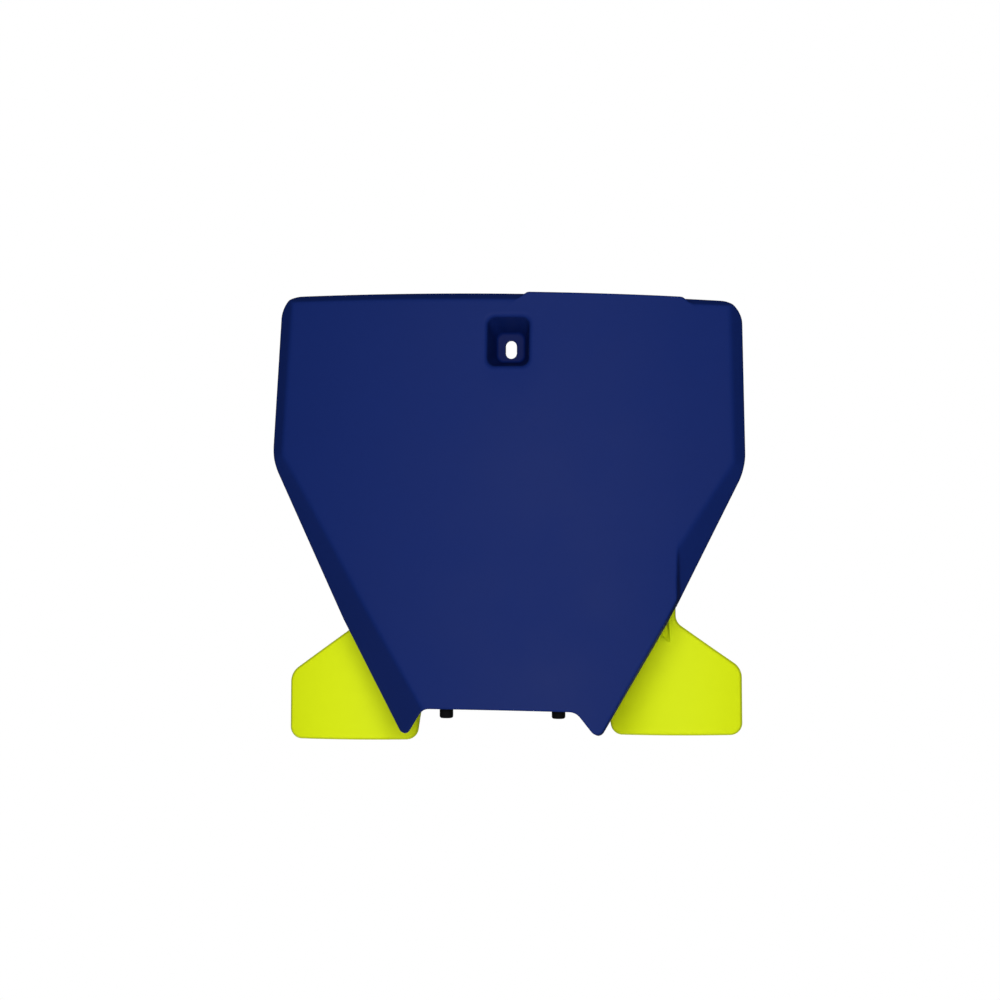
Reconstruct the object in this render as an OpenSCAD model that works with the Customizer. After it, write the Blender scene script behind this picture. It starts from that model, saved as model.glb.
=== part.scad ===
// Front number board for an off-road motorbike: a dished face board, a rear bracket with two
// side wings, two peg sleeves and four screws.
// Sizes are in millimetres. X is across, Y is into the depth and Z is up.
// The origin is the middle of the screw slot, on the back of the well's floor.

/* [Face board] */
// Half the width of the board at its top corners
top_half_w = 135.6; // [120:0.5:145]
// Half the width of the board at its widest corners
wide_half_w = 138.6; // [128:0.1:150]
// Height of the top edge above the foot
top_h = 243.4; // [235:0.1:260]
// Height of the widest corners above the foot
wide_h = 146; // [130:0.5:165]
// Height of the knee in the lower sides
knee_h = 53; // [40:0.5:70]
// Half the width of the board at the knee
knee_half_w = 94; // [90:0.5:100]
// Drop of the sharp point of each tip below the foot
tip_drop = 15.6; // [10:0.1:24]
// Half the distance between the sharp points of the tips
tip_half_w = 56.8; // [50:0.1:62]
// Half the width of the level foot edge
foot_half_w = 44; // [40:0.5:48]
// How far the outline's right side falls below its left side
edge_fall = 4.5; // [0:0.1:8]
// How far the outline leans over to the left from its top down to its foot
edge_drift = 1.4; // [0:0.1:4]
// Wall thickness of the moulded board
wall_t = 2.5; // [1.8:0.1:3.5]
// Radius that the face is bowed to
bow_r = 560; // [450:5:900]
// Lean of the face back from upright
face_lean = 8.5; // [4:0.5:12]
// Depth from the front of the face to the back rim
rim_depth = 26; // [22:0.5:32]

// Height of the straight land between an edge band and the rim
rim_land = 1.2; // [0.6:0.1:3]

/* [Outline corners] */
// Radius of the top corners
top_corner_r = 13; // [6:0.5:16]
// Radius of the widest corners
wide_corner_r = 38; // [15:1:60]
// Radius of the tips
tip_r = 4; // [2:0.1:5]
// Radius in the notch beside each tip
notch_r = 8; // [4:0.5:12]

/* [Turned edges] */
// Angle of the side edge bands from the face
side_band_angle = 52.5; // [48:1:70]
// Angle of the lower edge bands from the face
lower_band_angle = 51; // [48:0.2:65]
// Angle that the rim of the lower right side rises to the tip at
right_rim_angle = 10; // [2:0.5:11]
// Height of the top edge band
top_band_h = 4.6; // [3:0.1:8]
// Depth of the top edge band
top_band_depth = 6; // [4:0.1:10]
// Where the flat tab in the top edge starts
tab_left = 12.1; // [-20:0.1:40]
// Where the flat tab in the top edge ends
tab_right = 99.1; // [80:0.1:112]
// Slant of the tab's ends across the height of the band
tab_slant = 6; // [2:0.5:10]
// Distance of the upright crease from the middle of the board
crease_x = 98.3; // [85:0.1:105]
// Angle that the face turns back at the crease
crease_turn = 3.2; // [0:0.1:6]
// Distance from the crease out to the step that ends the right edge band
band_stop = 0.8; // [0.4:0.1:4]

/* [Screw well] */
// Distance of the well to the right of the middle
well_shift = 1.2; // [-4:0.1:6]
// Height of the middle of the well up the face
well_h = 214; // [195:0.5:218]
// Width of the well's opening
well_open_w = 24.8; // [20:0.1:32]
// Height of the well's opening
well_open_h = 29.6; // [24:0.1:36]
// Width of the well's floor
well_floor_w = 17.4; // [15:0.1:19]
// Height of the well's floor
well_floor_h = 18.2; // [17:0.1:22]
// Depth of the well's floor behind the face
well_depth = 20.5; // [14:0.5:24]
// Corner radius of the well's opening
well_corner_r = 4.5; // [2:0.5:7]
// Thickness of the well's floor
seat_t = 3; // [2:0.1:4]
// Width of the screw slot
slot_w = 6.6; // [5.2:0.1:8.4]
// Height of the screw slot
slot_h = 10.4; // [9:0.1:14]
// Distance of the slot below the middle of the floor
slot_drop = 1.2; // [0:0.1:2.4]

/* [Locating pegs] */
// Distance between the pegs
peg_spacing = 64.4; // [50:0.2:76]
// Distance of the pegs behind the foot of the face
peg_y = 10.4; // [9.6:0.1:13]
// Diameter of the rubber sleeves
sleeve_d = 7.8; // [7:0.1:9]
// Diameter of the moulded peg posts
post_d = 5; // [4:0.1:5.6]
// Clearance between a sleeve's bore and its post
sleeve_clear = 0.05; // [0.02:0.01:0.2]
// Height of the underside of the peg shelf above the foot
shelf_h = 12; // [9:0.5:18]
// Distance that the sleeves reach below the foot
peg_drop = 5.3; // [3:0.1:9]
// Thickness of the sleeve's closed end
sleeve_end_t = 2.4; // [1.6:0.1:3]
// Radius round the sleeve's closed end
sleeve_end_r = 1.3; // [0.6:0.1:2]

/* [Rear bracket] */
// Depth of the bracket's cross bar behind the front of the face
bar_depth = 24; // [20:0.5:25.5]
// Lower edge of the cross bar up the face
bar_low = 66; // [60:0.5:70]
// Upper edge of the cross bar up the face
bar_high = 106; // [98:0.5:120]
// Half the length of the cross bar
bar_half_w = 74; // [68:0.5:80]
// Thickness of the bracket's walls
bracket_t = 2.5; // [2:0.1:3.5]
// Diameter of the screw holes in the cross bar
screw_hole_d = 4.6; // [4.4:0.1:5.4]
// Half the distance between the two columns of screws
screw_x = 58; // [50:0.5:62]
// Height of the lower screws up the face
screw_low = 76; // [73:0.5:80]
// Height of the upper screws up the face
screw_high = 98; // [88:0.5:99]

/* [Wings] */
// Distance of the wings' middle line from the middle of the board
wing_x = 92; // [86:0.5:104]
// Radius that the wings are curved to
wing_r = 105; // [95:1:130]
// Depth of the wings' fronts behind the foot of the face
wing_y = 78; // [74:0.5:84]
// Distance of the wings' outer edges from the middle of the board
wing_outer = 135.4; // [130:0.1:142]
// Distance of the wings' inner edges from the middle of the board
wing_inner = 58.4; // [55:0.1:60]
// Distance of the wings' lower edges below the foot
wing_low = 21.5; // [16:0.5:30]
// Height of the wings' outer edges above the foot
wing_shoulder = 18; // [12:0.5:24]
// Radius of the wings' lower corners
wing_corner_r = 7; // [3:0.5:10]
// Radius of the wings' shoulders
shoulder_r = 11; // [4:0.5:16]
// How far the left wing sits below the right wing
wing_stagger = 3.8; // [0:0.1:6]
// Distance of the necks' outer edges from the middle of the board
neck_x = 96.2; // [94:0.1:99]
// Width of the necks
neck_w = 6.7; // [5.5:0.1:8]
// Height of the necks above the foot
neck_h = 72; // [64:0.5:76]

/* [Screws] */
// Diameter of the screws' shanks
shank_d = 4; // [3:0.1:4.2]
// Clearance round a shank in its boss
shank_clear = 0.05; // [0.02:0.01:0.3]
// Length of the screws under the head
screw_len = 16; // [10:0.5:18]
// Diameter of the screw heads
head_d = 8.6; // [7:0.1:9.5]
// Height of the screw heads
head_h = 2.6; // [1.8:0.1:3.2]
// Outer diameter of the bosses
boss_d = 9; // [8:0.1:10.5]

/* [Hidden] */
$fn = 96;
far = 60;
land_depth = rim_depth - rim_land;
arc_steps = 5;
well_draft_x = (well_open_w - well_floor_w) / 2 / well_depth;
well_draft_z = (well_open_h - well_floor_h) / 2 / well_depth;
well_back = well_depth + 6;
floor_mid_y = well_h * sin(face_lean) + well_depth * cos(face_lean);
floor_mid_z = well_h * cos(face_lean) - well_depth * sin(face_lean);
slot_z = floor_mid_z - slot_drop;
seat_y = floor_mid_y + seat_t;
peg_bore_d = post_d + 2 * sleeve_clear;
pilot_d = shank_d + 2 * shank_clear;
shelf_t = 2.5;
shelf_half_w = 44;
shelf_front = 2.35;
shelf_depth = 19;
shelf_web_h = 17;
web_t = 1.6;
well_web_inner = 9;
well_web_outer = 30;
boss_web_depth = 9;
rib_depth = 8;
rib_inset = 12;
bar_low_r = 4;
bar_high_r = 8;
neck_r = 8;
neck_top_r = 2;
pilot_spare = 1.5;
socket_w = 3.4;
socket_depth = 1.5;
arm_inner = 50;
arm_outer = neck_x - neck_w + bracket_t;
arm_foot = 20;
arm_joint = 54;
arm_lift = 6;
neck_foot = 45.6;
wing_top = 38;
step_x = crease_x + band_stop;
side_slope = (wide_h - knee_h) / (wide_half_w - knee_half_w);
step_foot = knee_h + (step_x + edge_drift * (1 - knee_h / top_h) - knee_half_w) * side_slope - 2;
crease_n = bow_r - sqrt(bow_r * bow_r - crease_x * crease_x);
crease_angle = asin(crease_x / bow_r) + crease_turn;

// Drops a point of the outline by the share of the fall at its distance from the middle, and moves it
// left by the share of the drift at its height
function fallen(x, z) = [x - edge_drift * (1 - z / top_h), z - edge_fall * x / (2 * wide_half_w)];

function unit(v) = v / norm(v);

// Unit vector that points into a corner, halfway between its two edges
function bisector(a, p, b) = unit(unit(a - p) + unit(b - p));

// Half of the angle between the two edges of a corner
function half_angle(a, p, b) = acos(unit(a - p) * bisector(a, p, b));

// Point where a fillet of radius r touches the edge from p to a
function touch(a, p, b, r) = p + unit(a - p) * r / tan(half_angle(a, p, b));

// Centre of a fillet of radius r in the corner p
function fillet_mid(a, p, b, r) = p + bisector(a, p, b) * r / sin(half_angle(a, p, b));

// Short edges that follow the fillet of radius r in the corner p
function stepped_arc(a, p, b, r) =
    let (mid = fillet_mid(a, p, b, r), from = touch(a, p, b, r) - mid, to = touch(b, p, a, r) - mid)
        [for (j = [0 : arc_steps]) mid + r * unit(from * (arc_steps - j) + to * j)];

// Meeting point of the two edges of a corner that points out, each moved in by t
function moved_in(a, p, b, t) =
    p + bisector(a, p, b) * t / sin(half_angle(a, p, b));

// Closed outline with the corners that point in cut off between the ends of their fillets
function trimmed(pts, radii) = [
    for (i = [0 : len(pts) - 1])
        let (a = pts[(i + len(pts) - 1) % len(pts)], p = pts[i], b = pts[(i + 1) % len(pts)])
            each radii[i] < 0 ? [touch(a, p, b, -radii[i]), touch(b, p, a, -radii[i])] : [p]
];

// Stands a front view up and gives it the depth from y0 to y1
module upright(y0, y1) {
    translate([0, y1, 0]) rotate([90, 0, 0]) linear_extrude(height = y1 - y0) children();
}

// Slab with the outline's straight edges, which corner_cuts rounds
module outline_slab(pts, radii, y0, y1) {
    upright(y0, y1) polygon(trimmed(pts, radii));
}

// What the rounding takes away: radii are above zero in corners that point out, below zero in
// those that point in, and zero where a corner stays sharp
module corner_cuts(pts, radii, y0, y1) {
    n = len(pts);
    for (i = [0 : n - 1]) {
        a = pts[(i + n - 1) % n];
        p = pts[i];
        b = pts[(i + 1) % n];
        r = abs(radii[i]);
        if (radii[i] > 0) {
            mid = fillet_mid(a, p, b, r);
            beside_a = mid + 3 * (touch(a, p, b, r) - mid);
            beside_b = mid + 3 * (touch(b, p, a, r) - mid);
            difference() {
                upright(y0, y1) polygon([mid, beside_a, 2 * p - mid, beside_b]);
                upright(y0 - 1, y1 + 1) translate(mid) circle(r = r);
            }
        }
        if (radii[i] < 0)
            upright(y0, y1) translate(fillet_mid(a, p, b, r)) circle(r = r);
    }
}

// Leans its children back like the face
module leaned() {
    rotate([-face_lean, 0, 0]) children();
}

// Mirrors its children to the left side for a side of minus one
module sided(side) {
    if (side < 0)
        mirror([1, 0, 0]) children();
    else
        children();
}

// Sharp corners of the board's outline, from the right-hand end of the foot round to the left
board_corners = [
    fallen(foot_half_w, 0),
    fallen(tip_half_w, -tip_drop),
    fallen(knee_half_w, knee_h),
    fallen(wide_half_w, wide_h),
    fallen(top_half_w, top_h),
    fallen(-top_half_w, top_h),
    fallen(-wide_half_w, wide_h),
    fallen(-knee_half_w, knee_h),
    fallen(-tip_half_w, -tip_drop),
    fallen(-foot_half_w, 0)
];
board_pts = [
    each stepped_arc(board_corners[9], board_corners[0], board_corners[1], notch_r),
    each stepped_arc(board_corners[0], board_corners[1], board_corners[2], tip_r),
    for (i = [2 : 7]) board_corners[i],
    each stepped_arc(board_corners[7], board_corners[8], board_corners[9], tip_r),
    each stepped_arc(board_corners[8], board_corners[9], board_corners[0], notch_r)
];
board_radii = [
    for (i = [0 : 2 * arc_steps + 1]) 0,
    0, wide_corner_r, top_corner_r, top_corner_r, wide_corner_r, 0,
    for (i = [0 : 2 * arc_steps + 1]) 0
];

// The same sides moved in by the wall, and left open below
hollow_low = -far;
hollow_foot_x = tip_half_w - (knee_half_w - tip_half_w) / (knee_h + tip_drop) * (far - tip_drop);
hollow_raw = [
    fallen(hollow_foot_x, hollow_low),
    fallen(knee_half_w, knee_h),
    fallen(wide_half_w, wide_h),
    fallen(top_half_w, top_h),
    fallen(-top_half_w, top_h),
    fallen(-wide_half_w, wide_h),
    fallen(-knee_half_w, knee_h),
    fallen(-hollow_foot_x, hollow_low)
];
hollow_pts = [
    for (i = [0 : 7])
        moved_in(hollow_raw[(i + 7) % 8], hollow_raw[i], hollow_raw[(i + 1) % 8], wall_t)
];
hollow_radii = [
    0, 0, wide_corner_r - wall_t, top_corner_r - wall_t,
    top_corner_r - wall_t, wide_corner_r - wall_t, 0, 0
];

// Everything in front of an edge band: a plane from the edge p q near the rim, moved in by t
module band_space(p, q, angle, t) {
    turn = atan2(q[0] - p[0], q[1] - p[1]);
    translate([p[0], 0, p[1]]) rotate([0, turn, 0])
        translate([-t * sin(angle), t * cos(angle), -far])
            linear_extrude(height = norm(q - p) + 2 * far)
                polygon([
                    [0, land_depth],
                    [far, land_depth + far * tan(angle)],
                    [far, -far],
                    [-(land_depth + far) / tan(angle), -far]
                ]);
}

// Right-hand side of an outline point for either side of the board
function on_side(side, x, z) = [side * fallen(side * x, z)[0], fallen(side * x, z)[1]];

// Space in front of the bands of one side
module side_bands(side, t) {
    tip = on_side(side, tip_half_w, -tip_drop);
    knee = on_side(side, knee_half_w, knee_h);
    wide = on_side(side, wide_half_w, wide_h);
    top = on_side(side, top_half_w, top_h);
    sided(side) {
        band_space(wide, top, side_band_angle, t);
        if (side < 0) {
            band_space(knee, wide, lower_band_angle, t);
            band_space(tip, knee, lower_band_angle, t);
        } else {
            intersection() {
                band_space(knee, wide, lower_band_angle, t);
                translate([step_x - t, -4 * far, -2 * far]) cube([4 * far, 8 * far, 8 * far]);
            }
        }
    }
}

// Space above the top band, a cone round the axis that the face is bowed about
module top_band(t) {
    lean = atan2(top_band_depth, top_band_h);
    slope = top_band_h / top_band_depth;
    in_r = t * cos(lean);
    in_z = t * sin(lean);
    translate([0, bow_r, top_h]) rotate([0, atan2(edge_fall, 2 * wide_half_w), 0])
        rotate_extrude($fn = 360)
            polygon([
                [bow_r - top_band_depth - in_r - 20, 20 * slope - in_z],
                [bow_r - in_r + 20, -top_band_h - 20 * slope - in_z],
                [bow_r - in_r + 20, 40]
            ]);
}

// Front view of the stretches of the top edge that have a band
module band_stretches() {
    reach = 2 * wide_half_w;
    step = 3 * tab_slant;
    polygon([
        [-reach, top_h - 3 * top_band_h], [tab_left - step, top_h - 3 * top_band_h],
        [tab_left + step, top_h + 3 * top_band_h], [-reach, top_h + 3 * top_band_h]
    ]);
    polygon([
        [reach, top_h - 3 * top_band_h], [tab_right + step, top_h - 3 * top_band_h],
        [tab_right - step, top_h + 3 * top_band_h], [reach, top_h + 3 * top_band_h]
    ]);
}

// Space in front of the part of the face that turns back beyond the crease
module crease_space(t) {
    translate([crease_x, crease_n, -far]) rotate([0, 0, crease_angle])
        translate([0, -far + t, 0])
            cube([2 * far, far, top_h + 2 * far]);
}

// Cylinder that the face is bowed to, with its front moved back by t
module bow(t) {
    translate([0, bow_r, -far]) cylinder(r = bow_r - t, h = top_h + 2 * far, $fn = 360);
}

// Slab of an outline, rounded at its corners, with its front bowed and moved back by t
module bowed_slab(pts, radii, rim, t) {
    difference() {
        intersection() {
            outline_slab(pts, radii, -1, rim);
            bow(t);
        }
        corner_cuts(pts, radii, -far, far);
    }
}

// The same slab with the side bands and the crease, moved in by t
module banded_slab(pts, radii, rim, t) {
    difference() {
        bowed_slab(pts, radii, rim, t);
        side_bands(1, t);
        side_bands(-1, t);
        crease_space(t);
    }
}

// Space behind the lower right rim, from the foot of the step down to the tip
module rim_rise() {
    translate([0, rim_depth, step_foot]) rotate([-right_rim_angle, 0, 0])
        translate([0, 0, -3 * far])
            cube([3 * far, far, 3 * far]);
}

module board_outer() {
    difference() {
        banded_slab(board_pts, board_radii, rim_depth, 0);
        rim_rise();
        intersection() {
            top_band(0);
            upright(-far, 2 * far) band_stretches();
        }
    }
}

module board_hollow() {
    difference() {
        banded_slab(hollow_pts, hollow_radii, rim_depth + 1, wall_t);
        top_band(wall_t);
    }
}

// Tapered block of the well, with its sides moved out by t
module well_block(t, front) {
    half_w = well_open_w / 2 + t;
    half_h = well_open_h / 2 + t;
    intersection() {
        translate([well_shift, 0, 0]) linear_extrude(height = 2 * well_h)
            polygon([
                [-half_w - front * well_draft_x, -front],
                [half_w + front * well_draft_x, -front],
                [half_w - well_back * well_draft_x, well_back],
                [-half_w + well_back * well_draft_x, well_back]
            ]);
        translate([well_shift - 2 * half_w, 0, well_h]) rotate([90, 0, 90])
            linear_extrude(height = 4 * half_w)
                polygon([
                    [-front, -half_h - front * well_draft_z],
                    [-front, half_h + front * well_draft_z],
                    [well_back, half_h - well_back * well_draft_z],
                    [well_back, -half_h + well_back * well_draft_z]
                ]);
    }
}

// The well's hollow, with its opening's corners rounded
module well_hollow() {
    half_w = well_open_w / 2;
    half_h = well_open_h / 2;
    corners = [[-half_w, -half_h], [half_w, -half_h], [half_w, half_h], [-half_w, half_h]];
    radii = [well_corner_r, well_corner_r, well_corner_r, well_corner_r];
    intersection() {
        leaned() difference() {
            well_block(0, 4);
            translate([well_shift, 0, well_h]) corner_cuts(corners, radii, -far, far);
        }
        translate([-far, -far, 0]) cube([2 * far, far + floor_mid_y, 2 * well_h]);
    }
}

module well_body() {
    intersection() {
        leaned() well_block(wall_t, -wall_t / 2);
        translate([-far, -far, 0]) cube([2 * far, far + seat_y, 2 * well_h]);
    }
}

module slot() {
    reach = (slot_h - slot_w) / 2;
    translate([well_shift, floor_mid_y - 1, slot_z]) {
        for (dz = [-reach, reach])
            translate([0, 0, dz]) rotate([-90, 0, 0]) cylinder(d = slot_w, h = seat_t + 2);
        translate([-slot_w / 2, 0, -reach]) cube([slot_w, seat_t + 2, 2 * reach]);
    }
}

// Depth of the back of the face at the distance x from the middle
function face_back(x) = bow_r - sqrt(pow(bow_r - wall_t, 2) - x * x);

module bosses() {
    from = face_back(screw_x) - wall_t / 2;
    for (x = [-screw_x, screw_x]) {
        for (z = [screw_low, screw_high])
            translate([x, from, z]) rotate([-90, 0, 0]) cylinder(d = boss_d, h = bar_depth - from);
        translate([x - web_t / 2, from, screw_low])
            cube([web_t, boss_web_depth, screw_high - screw_low]);
    }
}

module pilot_holes() {
    for (x = [-screw_x, screw_x], z = [screw_low, screw_high])
        translate([x, bar_depth + bracket_t - screw_len - pilot_spare, z]) rotate([-90, 0, 0])
            cylinder(d = pilot_d, h = screw_len);
}

// Webs that brace the well's sides against the back of the face
module well_webs() {
    from = wall_t * 0.6;
    rise = well_depth * 0.75;
    for (side = [-1, 1])
        translate([well_shift, 0, well_h - web_t / 2]) sided(side)
            linear_extrude(height = web_t)
                polygon([
                    [well_web_inner, from], [well_web_outer, from], [well_web_outer, from + web_t],
                    [well_web_inner + 1, rise], [well_web_inner, rise]
                ]);
}

module peg_shelf() {
    front_y = shelf_front + shelf_h * sin(face_lean);
    translate([-shelf_half_w, front_y, shelf_h])
        cube([2 * shelf_half_w, shelf_depth - front_y, shelf_t]);
    for (x = [-peg_spacing / 2, 0, peg_spacing / 2])
        translate([x - web_t / 2, 0, shelf_h + shelf_t / 2]) rotate([90, 0, 90])
            linear_extrude(height = web_t)
                polygon([
                    [front_y, 0],
                    [shelf_depth - 2, 0],
                    [front_y + shelf_web_h * sin(face_lean), shelf_web_h]
                ]);
    for (x = [-peg_spacing / 2, peg_spacing / 2])
        translate([x, peg_y, -peg_drop + sleeve_end_t + 0.4])
            cylinder(d = post_d, h = shelf_h + peg_drop - sleeve_end_t + 0.6);
}

module front_plate() {
    color([0.10, 0.16, 0.40]) placed() difference() {
        union() {
            leaned() {
                difference() {
                    board_outer();
                    board_hollow();
                }
                bosses();
                well_webs();
            }
            well_body();
            peg_shelf();
        }
        well_hollow();
        slot();
        leaned() pilot_holes();
    }
}

module cross_bar() {
    corners = [
        [-bar_half_w, bar_low], [bar_half_w, bar_low],
        [bar_half_w, bar_high], [-bar_half_w, bar_high]
    ];
    radii = [bar_low_r, bar_low_r, bar_high_r, bar_high_r];
    difference() {
        outline_slab(corners, radii, bar_depth, bar_depth + bracket_t);
        corner_cuts(corners, radii, 0, far);
    }
    for (z = [bar_low, bar_high - web_t])
        translate([rib_inset - bar_half_w, bar_depth, z])
            cube([2 * (bar_half_w - rib_inset), rib_depth, web_t]);
}

// Corners of the front view of a wing with its neck
wing_pts = [
    [wing_inner, -wing_low],
    [wing_outer, -wing_low],
    [wing_outer - 0.4, wing_shoulder],
    [neck_x, neck_foot],
    [neck_x, neck_h],
    [arm_outer - bracket_t, neck_h],
    [arm_outer - bracket_t, wing_top],
    [arm_inner, wing_top],
    [wing_inner - 3.2, 0]
];
wing_radii = [
    wing_corner_r, wing_corner_r, shoulder_r, -neck_r,
    neck_top_r, 0, 0, neck_top_r, 0
];

module wing_tube(grow, shrink) {
    translate([wing_x, wing_y + wing_r, -far]) difference() {
        cylinder(r = wing_r + grow, h = 3 * far, $fn = 180);
        if (shrink > 0)
            translate([0, 0, -1]) cylinder(r = wing_r - shrink, h = 3 * far + 2, $fn = 180);
    }
}

bar_low_y = bar_low * sin(face_lean) + bar_depth * cos(face_lean);
bar_low_z = bar_low * cos(face_lean) - bar_depth * sin(face_lean);

// Depth of the middle of a wing's wall at the distance x from the middle of the board
function wing_mid_y(x) = wing_y + wing_r - sqrt(pow(wing_r - bracket_t / 2, 2) - pow(x - wing_x, 2));

web_back_y = wing_mid_y(arm_outer - bracket_t / 2);
arm_back_y = web_back_y + 2;
arm_slope = atan2(bar_low_z + arm_lift - wing_top + 4, arm_back_y - bar_low_y);

// Sloping arm from the cross bar back to the wing, with the web that ties it to the neck
module arm() {
    difference() {
        intersection() {
            upright(0, 3 * far)
                polygon([
                    [arm_inner, arm_foot], [arm_outer, arm_foot], [arm_outer, arm_joint],
                    [bar_half_w, bar_low_z + 10], [arm_inner, bar_low_z + 10]
                ]);
            translate([0, bar_low_y, bar_low_z + arm_lift]) rotate([-arm_slope, 0, 0])
                translate([0, -3 * far, -bracket_t])
                    cube([3 * far, 6 * far, bracket_t]);
            leaned() translate([0, bar_depth, -far]) cube([3 * far, 3 * far, 5 * far]);
        }
        wing_tube(-bracket_t / 2, 0);
    }
    translate([arm_outer - bracket_t, 0, 0]) rotate([90, 0, 90])
        linear_extrude(height = bracket_t)
            polygon([
                [web_back_y, wing_top - 2], [web_back_y, neck_h - 2],
                [web_back_y - 10, neck_h - 14], [web_back_y - 20, wing_top + 13],
                [web_back_y - 18, wing_top + 10]
            ]);
}

module wing(side) {
    sided(side) translate([0, 0, side * wing_stagger / 2]) {
        difference() {
            intersection() {
                outline_slab(wing_pts, wing_radii, wing_y - 5, wing_y + wing_r / 2);
                wing_tube(0, bracket_t);
            }
            corner_cuts(wing_pts, wing_radii, 0, 4 * far);
        }
        arm();
    }
}

module rear_bracket() {
    color([0.86, 0.92, 0.13]) placed() {
        wing(1);
        wing(-1);
        leaned() difference() {
            cross_bar();
            for (x = [-screw_x, screw_x], z = [screw_low, screw_high])
                translate([x, bar_depth - 1, z]) rotate([-90, 0, 0])
                    cylinder(d = screw_hole_d, h = bracket_t + 2);
        }
    }
}

module peg_sleeve(side) {
    height = shelf_h + peg_drop;
    r = sleeve_d / 2;
    color([0.04, 0.04, 0.04]) placed()
        translate([side * peg_spacing / 2, peg_y, -peg_drop])
            rotate_extrude() difference() {
                union() {
                    translate([0, sleeve_end_r]) square([r, height - sleeve_end_r]);
                    square([r - sleeve_end_r, sleeve_end_r * 2]);
                    translate([r - sleeve_end_r, sleeve_end_r]) intersection() {
                        circle(r = sleeve_end_r);
                        translate([0, -sleeve_end_r]) square(2 * sleeve_end_r);
                    }
                }
                translate([0, sleeve_end_t]) square([peg_bore_d / 2, height]);
            }
}

module bracket_screws() {
    color([0.62, 0.63, 0.65]) placed() leaned()
        for (x = [-screw_x, screw_x], z = [screw_low, screw_high])
            translate([x, bar_depth + bracket_t, z]) rotate([-90, 0, 0]) difference() {
                union() {
                    cylinder(d = head_d, h = head_h);
                    translate([0, 0, -screw_len]) cylinder(d = shank_d, h = screw_len + 1);
                }
                translate([0, 0, head_h - socket_depth])
                    cylinder(d = socket_w, h = socket_depth + 1, $fn = 6);
            }
}

// Moves the board so that the slot's seat is at the origin
module placed() {
    translate([-well_shift, -seat_y, -slot_z]) children();
}

front_plate();
rear_bracket();
peg_sleeve(-1);  // left_peg_sleeve
peg_sleeve(1);  // right_peg_sleeve
bracket_screws();
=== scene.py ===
"""Dresses the racing number board: a dished blue face board, the yellow bracket with two wings behind
it, two rubber peg sleeves and four screws, in moulded plastic, rubber and plated steel."""

import bmesh
import bpy
import numpy as np
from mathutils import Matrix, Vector
from mathutils.geometry import tessellate_polygon


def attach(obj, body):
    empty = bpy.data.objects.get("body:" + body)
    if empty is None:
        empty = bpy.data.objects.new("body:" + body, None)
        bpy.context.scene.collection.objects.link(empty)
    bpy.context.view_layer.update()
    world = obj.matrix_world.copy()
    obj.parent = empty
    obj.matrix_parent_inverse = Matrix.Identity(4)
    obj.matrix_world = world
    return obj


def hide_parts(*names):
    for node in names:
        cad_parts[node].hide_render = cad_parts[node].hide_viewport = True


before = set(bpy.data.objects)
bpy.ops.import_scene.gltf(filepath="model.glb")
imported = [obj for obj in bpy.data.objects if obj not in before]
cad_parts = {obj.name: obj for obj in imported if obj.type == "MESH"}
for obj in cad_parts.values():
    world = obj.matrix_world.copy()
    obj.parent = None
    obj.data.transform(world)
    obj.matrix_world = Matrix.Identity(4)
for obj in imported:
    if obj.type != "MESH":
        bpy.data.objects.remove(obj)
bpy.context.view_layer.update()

# Sizes of the board in millimetres, measured from the middle of its foot: x across, s up the face
# and n back from the front of the face. ORIGIN is the shared frame's origin, measured from there.
# EDGE_R rounds the front's edge, and HAIR is how far the drawn skin stays inside the solid's outline.
ORIGIN = np.array([1.2, 54.906, 207.419])
LEAN = np.radians(8.5)
BOW_R = 560.0
WALL = 2.5
RIM_DEPTH = 26.0
LAND_DEPTH = 24.8
EDGE_R = 1.1
HAIR = 0.02

# The outline's corners on the right, from the notch in the foot round to the top, and their radii.
# The left is their mirror image. Its edges then fall to the right and drift left towards the foot.
NOTCH = (44.0, 0.0)
TIP = (56.8, -15.6)
KNEE = (94.0, 53.0)
WIDE = (138.6, 146.0)
TOP = (135.6, 243.4)
HALF_OUTLINE = np.array([NOTCH, TIP, KNEE, WIDE, TOP])
HALF_RADII = np.array([8.0, 4.0, 14.0, 38.0, 13.0])
MIRROR = np.array([-1.0, 1.0])
CORNERS = np.concatenate([HALF_OUTLINE, HALF_OUTLINE[::-1] * MIRROR])
CORNER_R = np.concatenate([HALF_RADII, HALF_RADII[::-1]])
EDGE_FALL = 4.5
EDGE_DRIFT = 1.4

# The bands that slope off to the sides and the top, the tab left standing in the top band, and the
# crease down the right of the face, where the lower band stops.
SIDE_BAND = np.radians(52.5)
LOWER_BAND = np.radians(51.0)
BAND_SOFT = 0.8
TOP_BAND_H = 4.6
TOP_BAND_DEPTH = 6.0
TAB = (12.1, 101.2)
TAB_SLANT = 6.0
TAB_SOFT = 1.4
CREASE_X = 98.3
CREASE_TURN = np.radians(3.2)
CREASE_SOFT = 0.7
CREASE_ANGLE = np.arcsin(CREASE_X / BOW_R) + CREASE_TURN
STEP_X = CREASE_X + 0.8
STEP_W = 1.6
SIDE_SLOPE = (WIDE[1] - KNEE[1]) / (WIDE[0] - KNEE[0])
STEP_DRIFT = EDGE_DRIFT * (1 - KNEE[1] / TOP[1])
STEP_FOOT = KNEE[1] + (STEP_X + STEP_DRIFT - KNEE[0]) * SIDE_SLOPE - 2.0
RIM_RISE = np.tan(np.radians(10.0))

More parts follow.
